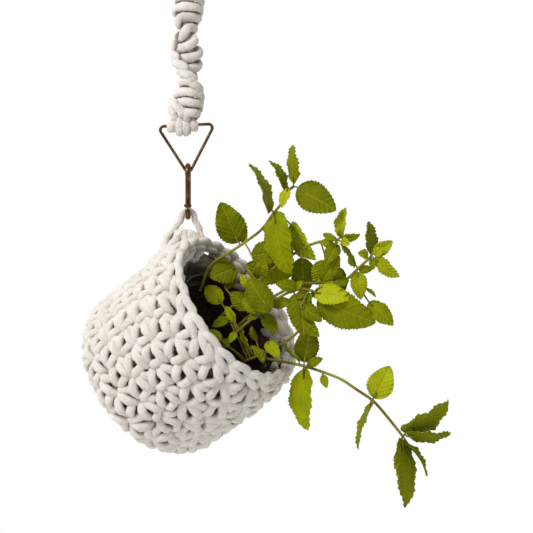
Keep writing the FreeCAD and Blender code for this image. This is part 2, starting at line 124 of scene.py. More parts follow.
class Yarn:
    """Gathers strands of soft cord and makes one mesh of them."""

    def __init__(self):
        self.points = []
        self.faces = []
        self.marks = []
        self.random = random.Random(7)

    def strand(self, line, facing, width, thick, around=12, taper=0.0, plies=3, twist=620.0,
               ripple=0.085):
        """One strand along line. facing gives the outward way, taper the share drawn in at each end."""
        count = len(line)
        travelled = self.random.uniform(0, 40 * MM)
        lean = self.random.uniform(0, TAU)
        first = len(self.points)
        up = None
        for i, place in enumerate(line):
            ahead = (line[min(i + 1, count - 1)] - line[max(i - 1, 0)]).normalized()
            if i:
                travelled += (place - line[i - 1]).length
            wanted = facing(i) if callable(facing) else (facing if up is None else up)
            side = ahead.cross(wanted)
            side = side.normalized() if side.length > 1e-9 else ahead.orthogonal().normalized()
            up = side.cross(ahead).normalized()
            share = i / (count - 1)
            near_end = min(share, 1 - share)
            swell = 1.0
            if taper:
                swell = END_SWELL + SWELL * math.sin(clamp(near_end / taper) * math.pi / 2)
            for j in range(around):
                turn = TAU * j / around
                spot = (travelled * TUFTS + lean, math.cos(turn) * TUFTS_ROUND,
                        math.sin(turn) * TUFTS_ROUND)
                ply = (1 + ripple * math.sin(plies * turn + lean + twist * travelled)
                       + FLUFF * noise.noise(spot))
                self.points.append(place + side * (width / 2 * swell * ply * math.cos(turn))
                                   + up * (thick / 2 * swell * ply * math.sin(turn)))
                self.marks.append((travelled / MM, math.cos(turn), math.sin(turn)))
            if i:
                low = first + (i - 1) * around
                high = low + around
                for j in range(around):
                    k = (j + 1) % around
                    self.faces.append((low + j, low + k, high + k, high + j))
        for ring, order, end in ((first, -1, 0), (first + (count - 1) * around, 1, -1)):
            middle = len(self.points)
            step = (line[1] - line[0]) if end == 0 else (line[-1] - line[-2])
            swell = END_SWELL if taper else 1.0
            self.points.append(line[end] + step.normalized() * (order * thick * 0.22 * swell))
            self.marks.append((travelled / MM, 0.0, 0.0))
            for j in range(around):
                pair = (ring + j, ring + (j + 1) % around)
                self.faces.append((*(pair if order > 0 else pair[::-1]), middle))

    def piece(self, name, body, slot, *replaced):
        return finish_piece(name, self.points, self.faces, self.marks, body, slot, *replaced)


def finish_piece(name, points, faces, marks, body, slot, *replaced):
    """A smooth mesh with its surface marks, riding on a body."""
    mesh = bpy.data.meshes.new(name)
    mesh.from_pydata(points, [], faces)
    mesh.validate()
    mesh.shade_smooth()
    if marks:
        attribute = mesh.attributes.new("surface_mark", "FLOAT_VECTOR", "POINT")
        attribute.data.foreach_set("vector", [x for mark in marks for x in mark])
    piece = bpy.data.objects.new(name, mesh)
    bpy.context.scene.collection.objects.link(piece)
    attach(piece, body)
    if replaced:
        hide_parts(*replaced)
    return piece


# Basket loop: the cord over the link's foot ---------------------------------------------------
LOOP_ROUTE = [
    (-0.0128, 0, -0.2630), (-0.0120, 0, -0.2570), (-0.0088, 0, -0.2512), (-0.0047, 0, -0.2470),
    (-0.0047, 0, -0.2423), (-0.0017, 0, -0.2393), (0.0025, 0, -0.2393), (0.0055, 0, -0.2423),
    (0.0056, 0, -0.2470), (0.0088, 0, -0.2516), (0.0105, 0, -0.2572), (0.0108, 0, -0.2634),
]
LOOP_CORD = 0.0048


def basket_loop():
    line = spline_points("loop_route", LOOP_ROUTE)
    yarn = Yarn()
    yarn.strand(line, FRONT, LOOP_CORD, LOOP_CORD, around=18, plies=4, ripple=0.045)
    piece = yarn.piece("basket_loop_cord", "basket", "cotton_cord", "basket_loop")
    return piece


# Macrame strap: a spiral of half knots round two core cords -----------------------------------
STRAP_ROUTE = [(0, 0, -0.0310), (0, 0, -0.0590), (0, 0, -0.0870), (0, 0, -0.1150),
               (0, 0, -0.1430), (0, 0, -0.1710)]
STRAP_CORD = 6.6 * MM
KNOT_PITCH = 8.5 * MM
KNOT_START = -0.1176      # height of the knot that the others are counted from
HALF_TURN = 37.6 * MM     # height over which the spiral makes half a turn
WIDE_PLACE = -0.1164      # height where its knots lie square to the front
CORE_CORD, CORE_SHIFT = 5.6 * MM, 2.8 * MM
# One cord's way through two knots: aside and back in millimetres, and down in knots.
HALF_KNOTS = [
    (0.0, -4.4, 0.00), (-6.6, -2.8, 0.14), (-9.9, -1.8, 0.36), (-10.2, -4.2, 0.66), (-8.4, -6.0, 0.98),
    (-9.9, -1.2, 1.18), (-6.6, 3.2, 1.17), (0.0, 4.3, 1.15), (6.8, 3.0, 1.22), (9.9, 0.4, 1.45),
    (7.8, -3.2, 1.77),
]


def strap():
    line = spline_points("strap_route", STRAP_ROUTE)
    top, foot = line[0].z - 3 * MM, line[-1].z + 5 * MM
    yarn = Yarn()
    chance = random.Random(17)
    for shift in (0, 1):
        places = []
        for cycle in range(-6, 4):
            for aside, back, down in HALF_KNOTS:
                z = KNOT_START - KNOT_PITCH * (2 * cycle + shift + down)
                if not foot < z < top:
                    continue
                turned = math.pi * (WIDE_PLACE - z) / HALF_TURN
                x = (aside + chance.uniform(-0.5, 0.5)) * MM
                y = (back + chance.uniform(-0.3, 0.3)) * MM
                places.append(Vector((x * math.cos(turned) - y * math.sin(turned),
                                      x * math.sin(turned) + y * math.cos(turned),
                                      z + chance.uniform(-0.35, 0.35) * MM)))
        path = through(places, 5)
        outward = [Vector((p.x, p.y, 0)).normalized() for p in path]
        yarn.strand(path, lambda i: outward[i], STRAP_CORD * 1.16, STRAP_CORD * 0.92,
                    around=16, plies=3, ripple=0.03)
    for side in (-1, 1):
        core = []
        for place in line:
            turned = math.pi * (WIDE_PLACE - place.z) / HALF_TURN
            way = Vector((math.cos(turned), math.sin(turned), 0))
            core.append(place + way * (side * CORE_SHIFT))
        yarn.strand(core, FRONT, CORE_CORD, CORE_CORD, around=12)
    piece = yarn.piece("strap_knots", "strap", "cotton_cord", "macrame_sinnet")
    return piece


def hitch(bar, across, rise, cords):
    """Lark's head: cords that come from the strap, pass round a wire and go back behind it.

    bar is a place on the wire, across its direction and rise the way to the strap. Each of cords
    gives, in millimetres, its shift along the wire, its reach before and behind it, its drop below
    it, its climb, its lean at the top, its width and its thickness.
    """
    yarn = Yarn()
    for shift, reach, drop, climb, lean, width, thick in cords:
        side = bar + across * (shift * MM)
        places = []
        for aside, forward, up in ((1.0, 0.2, climb), (0.45, 0.75, climb * 0.55), (0, 1.1, 0.2),
                                   (0, 0.8, -drop * 0.75), (0, 0.0, -drop), (0, -0.8, -drop * 0.75),
                                   (0, -1.1, 0.2), (0.45, -0.75, climb * 0.55), (1.0, -0.2, climb)):
            places.append(side + across * (lean * aside * MM) + FRONT * (reach * forward * MM)
                          + rise * (up * MM))
        yarn.strand(through(places, 6), lambda i: across, thick * MM, width * MM, around=16, plies=3)
    return yarn


def hitches():
    """The strap's hitches on the triangle and on the hanging ring."""
    tilt = math.radians(2.9)
    across = Vector((math.cos(tilt), 0, math.sin(tilt)))
    rise = Vector((-math.sin(tilt), 0, math.cos(tilt)))
    triangle = [(-8.6, 3.6, 3.2, 4, 4.0, 7.2, 4.8), (-2.2, 4.4, 6.0, 9, 2.6, 6.6, 5.4),
                (3.0, 4.5, 6.2, 9, -1.0, 6.6, 5.4), (9.0, 3.5, 3.2, 4, -3.0, 7.0, 4.8)]
    lower = hitch(mm(-4.0, 0, -171.15), across, rise, triangle)
    half_wire = 1.75 * MM
    foot = Vector((0, 0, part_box("hanging_ring")[0].z + half_wire))
    ring = [(-7.6, 4.6, 4.5, -10, 2.0, 6.4, 5.2), (-2.5, 5.0, 5.2, -13, 0.6, 5.8, 5.4),
            (2.9, 5.0, 5.2, -13, -0.6, 5.8, 5.4), (8.0, 4.6, 4.5, -10, -2.0, 6.4, 5.2)]
    up_side_down = [(a, b, -c, d, e, f, g) for a, b, c, d, e, f, g in ring]
    upper = hitch(foot, Vector((1, 0, 0)), UP, up_side_down)
    # Loose ends of the last half knot lie over the hitch on the triangle.
    drape = [((-13.0, -4.0, -150.0), (-9.0, -7.0, -156.0), (-3.0, -7.4, -162.5), (1.0, -6.0, -168.0)),
             ((-6.0, -5.0, -160.5), (-1.0, -7.6, -161.5), (4.0, -7.4, -161.5), (9.0, -3.0, -163.0)),
             ((-11.5, -2.0, -152.0), (-11.8, -3.4, -158.0), (-10.6, -3.6, -163.0), (-9.4, -2.6, -168.0))]
    for places in drape:
        lower.strand(through([mm(*p) for p in places], 7), FRONT, 6.8 * MM, 5.6 * MM, around=16, taper=0.2)
    return [lower.piece("triangle_hitch", "strap", "cotton_cord", "triangle_knot"),
            upper.piece("ring_hitch", "strap", "cotton_cord", "ring_knot")]


# Crocheted pod ---------------------------------------------------------------------------------
MOUTH = mm(35.2, -29.0, -315.4)
RISE, SWING = math.radians(31.6), math.radians(-34.7)
AXIS = Vector((math.cos(RISE) * math.cos(SWING), math.cos(RISE) * math.sin(SWING), math.sin(RISE)))
SAG = Vector((0, 1, 0)).cross(AXIS).normalized()
ACROSS = AXIS.cross(SAG)
WALL_RADIUS = 66.2 * MM
RIM_RADIUS = 62.6 * MM
WALL_SAG, RIM_SAG = 6.8 * MM, 4.6 * MM
RIM_SQUEEZE = 0.90
DEPTH = 111.5 * MM
CORNER = 21.0 * MM         # the wall's turn into the bottom
SETTLED_AT = 45 * MM       # depth at which the wall's section is that of WALL_SAG
FULL_AT = 18 * MM          # depth at which it is as wide as WALL_RADIUS
POLE = Vector((-0.15, 0.35, 0.92)).normalized()
ROW_PITCH = 18.3 * MM
STITCH_WIDTH = 20.5 * MM
LONGEST_STEP = 13.5 * MM   # a strand with a longer step has jumped across the mouth
UNDER_EDGING = 2.5 * MM    # how far below the rim the wall's strands end
ROWS = 14
ROW_SHIFT = 0.31           # how far each row starts past the one below, in stitches
LOOSE = 0.35               # how far a strand's places stray, in millimetres
FIRST_ROW = 0.62           # the lowest row's height over the pole, in rows


def settled(depth):
    """How far the wall's section has sagged at a depth, and how much narrower it is across."""
    share = ease(depth / SETTLED_AT)
    return RIM_SAG + (WALL_SAG - RIM_SAG) * share, RIM_SQUEEZE + (1 - RIM_SQUEEZE) * share


def pod_distance(place):
    """Distance of a place from the middle of the pod's crocheted wall; negative inside."""
    away = place - MOUTH
    depth = -away.dot(AXIS)
    sag, squeeze = settled(depth)
    radius = RIM_RADIUS + (WALL_RADIUS - RIM_RADIUS) * ease(depth / FULL_AT)
    out = math.hypot(away.dot(SAG) - sag, away.dot(ACROSS) / squeeze) - radius + CORNER
    below = depth - DEPTH + CORNER
    return math.hypot(max(out, 0), max(below, 0)) + min(max(out, below), 0) - CORNER


def outward_at(place):
    step = 0.5 * MM
    slope = [pod_distance(place + v * step) - pod_distance(place - v * step)
             for v in (Vector((1, 0, 0)), Vector((0, 1, 0)), UP)]
    return Vector(slope).normalized()


def press(place, lift=0.0):
    """The place moved along the wall's own normal until it lies on the wall, plus a lift."""
    for _ in range(2):
        normal = outward_at(place)
        place = place - normal * pod_distance(place)
    return place + normal * lift


class PodMap:
    """Places on the pod by their turn about the crochet's pole and their way up from it."""

    def __init__(self, turns=96, steps=72, reach=math.radians(177)):
        self.centre = MOUTH - AXIS * (55 * MM) + SAG * (6.4 * MM)
        self.east = POLE.orthogonal().normalized()
        self.north = POLE.cross(self.east)
        self.turns = turns
        self.columns = []
        for i in range(turns):
            turn = TAU * i / turns
            level = self.east * math.cos(turn) + self.north * math.sin(turn)
            column = []
            travelled = 0.0
            for j in range(steps + 1):
                fall = reach * j / steps
                way = -POLE * math.cos(fall) + level * math.sin(fall)
                near, far = 0.0, 0.3
                for _ in range(18):
                    half = (near + far) / 2
                    if pod_distance(self.centre + way * half) < 0:
                        near = half
                    else:
                        far = half
                place = self.centre + way * near
                if column:
                    travelled += (place - column[-1][1]).length
                column.append((travelled, place))
            self.columns.append(column)

    def on_column(self, index, height):
        column = self.columns[index % self.turns]
        low, high = 0, len(column) - 1
        if height >= column[high][0]:
            return column[high][1]
        while high - low > 1:
            middle = (low + high) // 2
            if column[middle][0] > height:
                high = middle
            else:
                low = middle
        share = (height - column[low][0]) / (column[high][0] - column[low][0])
        return column[low][1].lerp(column[high][1], share)

    def spot(self, turn, height):
        if height < 0:
            turn, height = turn + math.pi, -height
        place = (turn % TAU) / TAU * self.turns
        index = int(place)
        return self.on_column(index, height).lerp(self.on_column(index + 1, height), place - index)

    def girth(self, height):
        ring = [self.spot(TAU * i / 48, height) for i in range(48)]
        return sum((b - a).length for a, b in zip(ring, ring[1:] + ring[:1]))


# A stitch is six short strands, the last two on the inside of the wall. Each is its places, as
# across, up and out of the wall, and then its width and thickness, all in millimetres.
STITCH = [
    ([(0.6, 10.4, -4.6), (3.2, 4.8, 2.2), (6.0, -2.2, 3.4), (7.6, -9.6, -4.4)], 8.0, 7.0),
    ([(-0.6, 9.8, -4.6), (-4.2, 4.8, 2.0), (-6.8, -0.8, 2.8), (-8.0, -8.2, -4.4)], 7.9, 6.9),
    ([(-9.6, -9.0, -4.4), (-2.8, -7.6, 3.0), (2.6, -6.0, 3.5), (8.4, -3.0, -4.4)], 7.0, 6.2),
    ([(1.6, 9.6, -4.4), (5.6, 7.6, 1.8), (10.2, 4.2, 1.5), (15.0, -0.6, -4.6)], 7.4, 6.4),
    ([(-7.5, -5.0, -5.0), (-3.0, -2.0, -7.8), (2.0, 3.0, -7.8), (5.0, 7.0, -5.0)], 7.0, 4.6),
    ([(7.5, -5.0, -5.0), (5.0, -2.0, -7.4), (1.0, 3.0, -7.4), (-4.0, 7.0, -5.0)], 7.0, 4.6),
]


def stitch_strand(pod, places, turn, height, right, shape, chance):
    """The places of one strand on the wall, or None where it would jump across the mouth."""
    size, wobble, slant = shape
    line = []
    cut_off = 0
    for x, y, lift in places:
        across = (x * size + wobble + y * slant + chance.uniform(-LOOSE, LOOSE)) * MM
        up = (y * size * 1.04 + x * slant + chance.uniform(-LOOSE, LOOSE)) * MM
        place = pod.spot(turn + across / right, height + up)
        over = (place - MOUTH).dot(AXIS) + UNDER_EDGING
        if over > 0:
            place = place - AXIS * over
            cut_off += 1
        line.append(press(place, lift * MM))
    longest = max((b - a).length for a, b in zip(line, line[1:]))
    return None if cut_off > 1 or longest > LONGEST_STEP else line


def wall_stitches(pod):
    """Rows of stitches from the bottom pole up to the mouth."""
    yarns = [Yarn(), Yarn(), Yarn()]
    chance = random.Random(21)
    for row in range(ROWS):
        height = (FIRST_ROW + row) * ROW_PITCH
        count = max(6, round(pod.girth(height) / STITCH_WIDTH))
        step = TAU / count
        offset = ROW_SHIFT * step * row
        for i in range(count):
            turn = offset + i * step
            middle = pod.spot(turn, height)
            depth = -(middle - MOUTH).dot(AXIS)
            if depth < 4 * MM:
                continue
            # How far a radian of turn reaches there: next to nothing where a row closes up.
            right = (pod.spot(turn + 0.05, height) - pod.spot(turn - 0.05, height)).length / 0.1
            if right < 2 * MM:
                continue
            wobble = chance.uniform(-0.7, 0.7)
            slant = chance.uniform(-0.07, 0.07)
            size = chance.uniform(0.94, 1.06)
            yarn = yarns[0] if row < 4 else (yarns[1] if i % 2 else yarns[2])
            for places, width, thick in STITCH:
                line = stitch_strand(pod, places, turn, height, right, (size, wobble, slant), chance)
                if line is None:
                    continue
                smooth = through(line, 4)
                facing = [outward_at(p) for p in smooth]
                yarn.strand(smooth, lambda k: facing[k], width * size * MM, thick * size * MM,
                            around=10, taper=0.16)
    return [yarn.piece(f"crochet_rows_{number}", "basket", "cotton_cord", "crochet_basket")
            for number, yarn in enumerate(yarns, 1)]


def wall_backing():
    """The close back of the stitches: a thin double wall that shuts the gaps between them, dark with
    painted shade.
    """
    corner, thick, drawn_in = 20 * MM, 4 * MM, 2.6 * MM
    outer, inner = WALL_RADIUS - 1.6 * MM, WALL_RADIUS - 6.4 * MM
    base, top = DEPTH - 2.6 * MM, 9 * MM
    outline = [(outer * 0.08 * i, base) for i in range(9)]
    for i in range(8):
        bend = math.pi / 2 * i / 7
        outline.append((outer - corner * (1 - math.sin(bend)), base - corner * (1 - math.cos(bend))))
    outline += [(outer - drawn_in * ease(i / 12), base - corner + (top - base + corner) * i / 12)
                for i in range(1, 13)]
    outline += [(inner - drawn_in * ease(1 - i / 12), top + (base - corner - top) * i / 12)
                for i in range(13)]
    for i in range(1, 8):
        bend = math.pi / 2 * i / 7
        outline.append((inner - corner * (1 - math.cos(bend)),
                        base - corner + (corner - thick) * math.sin(bend)))
    outline.append((0.0, base - thick))
    points, faces = [], []
    around = 112
    for radius, depth in outline:
        sag, squeeze = settled(depth)
        for j in range(around):
            turn = TAU * j / around
            points.append(MOUTH - AXIS * depth + SAG * (sag + radius * math.cos(turn))
                          + ACROSS * (radius * squeeze * math.sin(turn)))
    for i in range(len(outline) - 1):
        low, high = i * around, (i + 1) * around
        for j in range(around):
            k = (j + 1) % around
            faces.append((low + j, low + k, high + k, high + j))
    return finish_piece("crochet_shade_sheet", points, faces, [], "basket", "cotton_cord", "crochet_basket")


def mouth_edging():
    """Chain stitches laid along the rim: a bold outer line and a finer inner one."""
    yarn = Yarn()
    chance = random.Random(5)
    count = 24
    step = TAU / count
    centre = MOUTH + SAG * RIM_SAG

    def rim(turn, beyond, depth):
        radius = RIM_RADIUS + beyond * MM
        return (centre - AXIS * (depth * MM) + SAG * (math.cos(turn) * radius)
                + ACROSS * (math.sin(turn) * radius * RIM_SQUEEZE))

    # Each line of the chain: start and end as shares of a stitch, then how far beyond the wall and
    # below the rim it lies at four places, its width and its thickness, in millimetres.
    chain = [
        (-0.30, 1.30, (0.6, 4.6, 4.4, 0.8), (1.5, 3.0, 6.8, 9.0), 6.6, 6.2),
        (-0.30, 1.30, (1.4, 2.4, 0.6, 1.2), (0.8, -2.2, -1.8, 2.4), 6.6, 6.2),
        (0.25, 1.20, (0.2, -2.6, -2.8, 0.2), (3.6, 0.2, 0.8, 4.6), 5.4, 5.0),
    ]
    for i in range(count):
        for start, end, beyond, depths, width, thick in chain:
            size = chance.uniform(0.94, 1.06)
            line = []
            for j in range(4):
                turn = (i + start + (end - start) * j / 3 + chance.uniform(-0.03, 0.03)) * step
                line.append(rim(turn, beyond[j] + chance.uniform(-0.4, 0.4),
                                depths[j] + chance.uniform(-0.4, 0.4)))
            smooth = through(line, 6)
            facing = [(p - centre + AXIS * (20 * MM)).normalized() for p in smooth]
            yarn.strand(smooth, lambda k: facing[k], width * size * MM, thick * size * MM,
                        around=14, taper=0.28)
    return yarn.piece("mouth_edging", "basket", "cotton_cord", "basket_edging")


# Crown: the gathered strands under the loop. Each is its places and its width, in millimetres.
CROWN = [
    ([(-12.0, -3.0, -256.5), (-16.6, -7.0, -262.5), (-17.2, -9.0, -269.0), (-14.0, -11.5, -276.5)], 7.6),
    ([(-10.4, -8.0, -269.0), (-8.2, -9.5, -261.0), (-4.6, -8.5, -257.2), (-1.6, -10.0, -262.0),
      (-2.2, -11.5, -269.5)], 7.4),
    ([(-0.6, -8.5, -268.5), (1.0, -9.0, -261.5), (4.2, -7.0, -258.2), (7.0, -8.0, -263.0),
      (7.4, -9.0, -270.0)], 7.4),
    ([(5.6, -13.0, -267.5), (1.8, -19.0, -273.0), (-3.4, -25.0, -279.0), (-8.8, -29.0, -285.6)], 8.6),
    ([(-1.0, -12.5, -266.0), (-6.4, -17.0, -271.4), (-11.6, -20.0, -277.0), (-17.2, -22.0, -282.0)], 8.0),
    ([(-10.0, -7.0, -262.0), (-14.0, -13.0, -270.0), (-19.0, -16.0, -276.0), (-25.0, -17.0, -280.5)], 7.8),
    ([(-15.5, -4.0, -267.0), (-20.0, -8.0, -273.0), (-26.0, -10.0, -279.0), (-31.0, -11.0, -284.5)], 7.8),
    ([(10.6, -2.0, -257.0), (11.6, -5.0, -264.0), (10.4, -7.5, -271.0), (6.4, -10.0, -277.0)], 7.4),
    ([(-12.4, 5.0, -257.0), (-15.4, 8.0, -264.0), (-15.4, 9.0, -271.0), (-17.0, 10.0, -279.0)], 7.6),
    ([(-7.6, 7.0, -268.5), (-4.0, 8.5, -260.5), (0.4, 8.5, -259.0), (3.4, 8.0, -267.5)], 7.6),
    ([(10.8, 3.0, -257.5), (11.2, 7.5, -264.0), (8.0, 10.0, -271.0), (3.6, 12.0, -278.0)], 7.4),
    ([(-14.6, 0.0, -261.0), (-7.6, -2.0, -258.2), (0.0, -1.0, -258.0), (7.8, 0.0, -260.0)], 8.4),
    ([(-16.0, 0.0, -268.0), (-6.0, -4.0, -266.0), (4.0, -3.0, -266.0), (10.8, 0.0, -268.0)], 12.0),
    ([(-20.0, 2.0, -276.0), (-8.0, -6.0, -274.0), (2.0, -6.0, -274.0), (9.0, 2.0, -276.0)], 13.0),
    ([(-18.0, 14.0, -276.0), (-10.0, 12.0, -270.0), (-2.0, 13.0, -270.0), (6.0, 14.0, -276.0)], 10.0),
]


def crown():
    yarn = Yarn()
    middle = mm(-3.5, 0, -271)
    for places, width in CROWN:
        line = through([mm(*p) for p in places], 8)
        facing = [(p - middle).normalized() for p in line]
        yarn.strand(line, lambda k: facing[k], width * MM, width * 0.86 * MM, around=14, taper=0.22)
    return yarn.piece("crown_knots", "basket", "cotton_cord")


# Mint leaves -----------------------------------------------------------------------------------
LEAF_THICKNESS = 0.35 * MM
STALK = 1.3 * MM           # a leaf stalk's thickness
TOOTH = 2.9 * MM           # from one tooth of a leaf's edge to the next
TOOTH_DEPTH = 0.11
QUILT = 0.85 * MM          # how far a leaf swells between its veins
LEAST_BREADTH = 0.68       # a leaf's width over its length is no less than this
BREADTH_SEEN = 2.3         # a leaf's width as seen, over its solid's reach from the rib
LEAST_FACING = 0.38        # the least cosine that a leaf turns away by
PAIRED_STEMS = ("back", "side", "middle")
PAIRED_FROM = 12 * MM      # a longer leaf on these stems has a younger one beside it
YOUNG_LENGTH, YOUNG_WIDTH = 0.55, 0.36   # the younger one's size, over its elder's length


def loose_parts(node):
    """Vertex groups of a node's mesh that hang together, welded by place."""
    mesh = nodes[node].data
    keys = [tuple(round(c, 6) for c in v.co) for v in mesh.vertices]
    parent = {key: key for key in keys}

    def top(key):
        while parent[key] != key:
            parent[key] = parent[parent[key]]
            key = parent[key]
        return key

    for face in mesh.polygons:
        ring = [keys[i] for i in face.vertices]
        for other in ring[1:]:
            parent[top(ring[0])] = top(other)
    parts = {}
    for key in sorted(parent):
        parts.setdefault(top(key), []).append(Vector(key))
    return list(parts.values())


def tree_of(node):
    mesh = nodes[node].data
    return BVHTree.FromPolygons([v.co for v in mesh.vertices], [tuple(p.vertices) for p in mesh.polygons])


def blade(foot, tip, across, face, width, chance, store):
    """One leaf: a crowned, veined sheet with a toothed edge that droops towards its tip."""
    points, faces, marks = store
    length = (tip - foot).length
    rib = (tip - foot).normalized()
    rows, half = 60, 8
    teeth = max(5, round(length / TOOTH))
    droop = chance.uniform(0.05, 0.13) * length
    fold = chance.uniform(0.10, 0.26)
    curl = chance.uniform(-0.06, 0.14)
    ruffle = chance.uniform(0.02, 0.05) * width
    phase = chance.uniform(0, TAU)
    seed = chance.uniform(0, 1)
    vein_gap = clamp(length / 7, 2.6 * MM, 7 * MM)
    first = len(points)
    for i in range(rows + 1):
        t = i / rows
        outline = math.sin(math.pi * t ** 0.70) ** 0.62 if 0 < t < 1 else 0.0
        saw = (t * teeth) % 1.0
        tooth = (1 - TOOTH_DEPTH * saw) if 0.06 < t < 0.97 else 1.0
        for j in range(-half, half + 1):
            v = j / half
            edge = abs(v)
            reach = width / 2 * outline * (tooth if edge > 0.85 else 1.0)
            y = v * reach
            x = t * length + edge ** 2 * reach * 0.22 * (1 - t)
            slant = (t * length - abs(y) * 0.85) / vein_gap
            quilt = math.cos(TAU * slant) * edge * (1 - 0.35 * edge)
            z = (fold * abs(y) - curl * y * y / max(width, MM) * 4
                 - droop * (2 * t - 1) ** 2 + droop
                 - QUILT * quilt * clamp(width / (14 * MM), 0.3, 1.0)
                 - 0.35 * MM * (1 - edge) ** 8
                 + ruffle * edge ** 3 * math.sin(TAU * t * 2.6 + phase + (1.9 if v > 0 else 0)))
            bow = -droop * 0.8
            points.append(foot + rib * x + across * y + face * (z + bow))
            marks.append((t * length / MM, y / MM, seed))
    wide = 2 * half + 1
    for i in range(rows):
        for j in range(wide - 1):
            a = first + i * wide + j
            faces.append((a, a + 1, a + wide + 1, a + wide))


def leaf_bunch(stem, chance):
    """All leaves of one stem, shaped on the plates of its node, and their stalks."""
    trunk = tree_of(f"mint_stem_{stem}")
    sheet = ([], [], [])
    stalks = Yarn()
    for part in loose_parts(f"mint_leaves_{stem}"):
        foot, tip = max(((a, b) for a in part for b in part), key=lambda ab: (ab[1] - ab[0]).length)
        at_foot, at_tip = trunk.find_nearest(foot), trunk.find_nearest(tip)
        if at_tip[3] < at_foot[3]:
            foot, tip = tip, foot
            at_foot = at_tip
        rib = (tip - foot).normalized()
        spread = max(part, key=lambda p: ((p - foot) - rib * (p - foot).dot(rib)).length)
        reach = (spread - foot) - rib * (spread - foot).dot(rib)
        length = (tip - foot).length
        across = reach.normalized()
        face = rib.cross(across).normalized()
        if face.dot(Vector((0, -1, 0.35))) < 0:
            face = -face
        shown = BREADTH_SEEN * reach.length
        real = max(shown, LEAST_BREADTH * length)
        turn = math.acos(clamp(shown / real, LEAST_FACING, 1.0))
        side = 1 if chance.random() < 0.5 else -1
        spin = Matrix.Rotation(side * turn, 3, rib)
        across, face = spin @ across, spin @ face
        blade(foot - rib * length * 0.04, tip + rib * length * 0.06, across, face, real, chance, sheet)
        root = at_foot[0]
        middle = (root + foot) / 2 + Vector((0, 0, 0.6 * MM))
        stalk = through([root, middle, foot, foot + rib * (length * 0.16)], 4)
        stalks.strand(stalk, FRONT, STALK, STALK, around=8, plies=2, ripple=0.05)
        if stem in PAIRED_STEMS and length > PAIRED_FROM:
            # Its pair on the other side of the stem, younger and smaller.
            young = Matrix.Rotation(chance.uniform(1.2, 2.2) * side, 3, face) @ rib
            across = face.cross(young).normalized()
            bud = root + young * (2 * MM)
            blade(bud, bud + young * (length * YOUNG_LENGTH), across, face, length * YOUNG_WIDTH, chance,
                  sheet)
    leaves = finish_piece(f"leaves_{stem}", *sheet, "pot", "mint_leaf", f"mint_leaves_{stem}")
    thicken = leaves.modifiers.new("thickness", "SOLIDIFY")
    thicken.thickness = LEAF_THICKNESS
    thicken.offset = 0
    stalk_piece = stalks.piece(f"leaf_stalks_{stem}", "pot", "mint_stem")
    return leaves, stalk_piece


# Compost ---------------------------------------------------------------------------------------
def compost():
    """The rough top of the compost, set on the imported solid's own upper face."""
    mesh = nodes["potting_soil"].data
    heights = [(v.co - MOUTH).dot(AXIS) for v in mesh.vertices]
    surface = max(heights)
    ring = [v.co for v, h in zip(mesh.vertices, heights) if h > surface - 0.2 * MM]
    middle = sum(ring, Vector()) / len(ring)
    radius = max((p - middle).length for p in ring) - 1.2 * MM
    points, faces = [], []
    rings, around = 34, 90
    for i in range(rings + 1):
        for j in range(around):
            turn = TAU * j / around
            out = radius * i / rings
            place = middle + (SAG * math.cos(turn) + ACROSS * math.sin(turn)) * out
            rough = noise.fractal(place * 160, 0.9, 2.1, 4) * 2.2 * MM
            edge = ease((rings - i) / 4)
            points.append(place + AXIS * ((rough + 0.9 * MM) * edge + 0.15 * MM))
    for i in range(rings):
        for j in range(around):
            k = (j + 1) % around
            faces.append((i * around + j, (i + 1) * around + j, (i + 1) * around + k, i * around + k))
    chance = random.Random(3)
    for _ in range(170):
        turn, out = chance.uniform(0, TAU), radius * 0.93 * math.sqrt(chance.random())
        size = chance.uniform(0.8, 2.6) * MM
        centre = middle + (SAG * math.cos(turn) + ACROSS * math.sin(turn)) * out + AXIS * (1.2 * MM)
        crumb(points, faces, centre, size, chance)
    return finish_piece("compost_top", points, faces, [], "pot", "compost")


def crumb(points, faces, centre, size, chance):
    first = len(points)
    rows, around = 4, 7
    points.append(centre + AXIS * size * 0.8)
    for i in range(1, rows):
        fall = math.pi * i / rows
        for j in range(around):
            turn = TAU * j / around
            reach = size * chance.uniform(0.7, 1.15)
            points.append(centre + AXIS * (math.cos(fall) * reach * 0.8)
                          + (SAG * math.cos(turn) + ACROSS * math.sin(turn)) * (math.sin(fall) * reach))
    last = len(points)
    points.append(centre - AXIS * size * 0.8)
    for j in range(around):
        k = (j + 1) % around
        faces.append((first, first + 1 + j, first + 1 + k))
        for i in range(rows - 2):
            a, b = first + 1 + i * around, first + 1 + (i + 1) * around
            faces.append((a + j, b + j, b + k, a + k))
        a = first + 1 + (rows - 2) * around
        faces.append((last, a + k, a + j))


# Materials -------------------------------------------------------------------------------------
def node(tree, kind, inputs=None, **settings):
    """A shader node. An input is a plain value or another node's socket."""
    made = tree.nodes.new("ShaderNode" + kind)
    for key, value in settings.items():
        setattr(made, key, value)
    for key, value in (inputs or {}).items():
        if isinstance(value, bpy.types.NodeSocket):
            tree.links.new(value, made.inputs[key])
        else:
            made.inputs[key].default_value = value
    return made


def ramp(tree, factor, stops):
    made = node(tree, "ValToRGB", {"Fac": factor})
    bar = made.color_ramp
    while len(bar.elements) < len(stops):
        bar.elements.new(0.5)
    for element, (place, colour) in zip(bar.elements, stops):
        element.position = place
        element.color = (*colour, 1)
    return made.outputs["Color"]


def start(name, roughness, **sockets):
    made = bpy.data.materials.new(name)
    made.use_nodes = True
    shader = made.node_tree.nodes["Principled BSDF"]
    shader.inputs["Roughness"].default_value = roughness
    for key, value in sockets.items():
        shader.inputs[key.replace("_", " ")].default_value = value
    return made, made.node_tree, shader


def place_of(tree):
    return node(tree, "TexCoord").outputs["Object"]


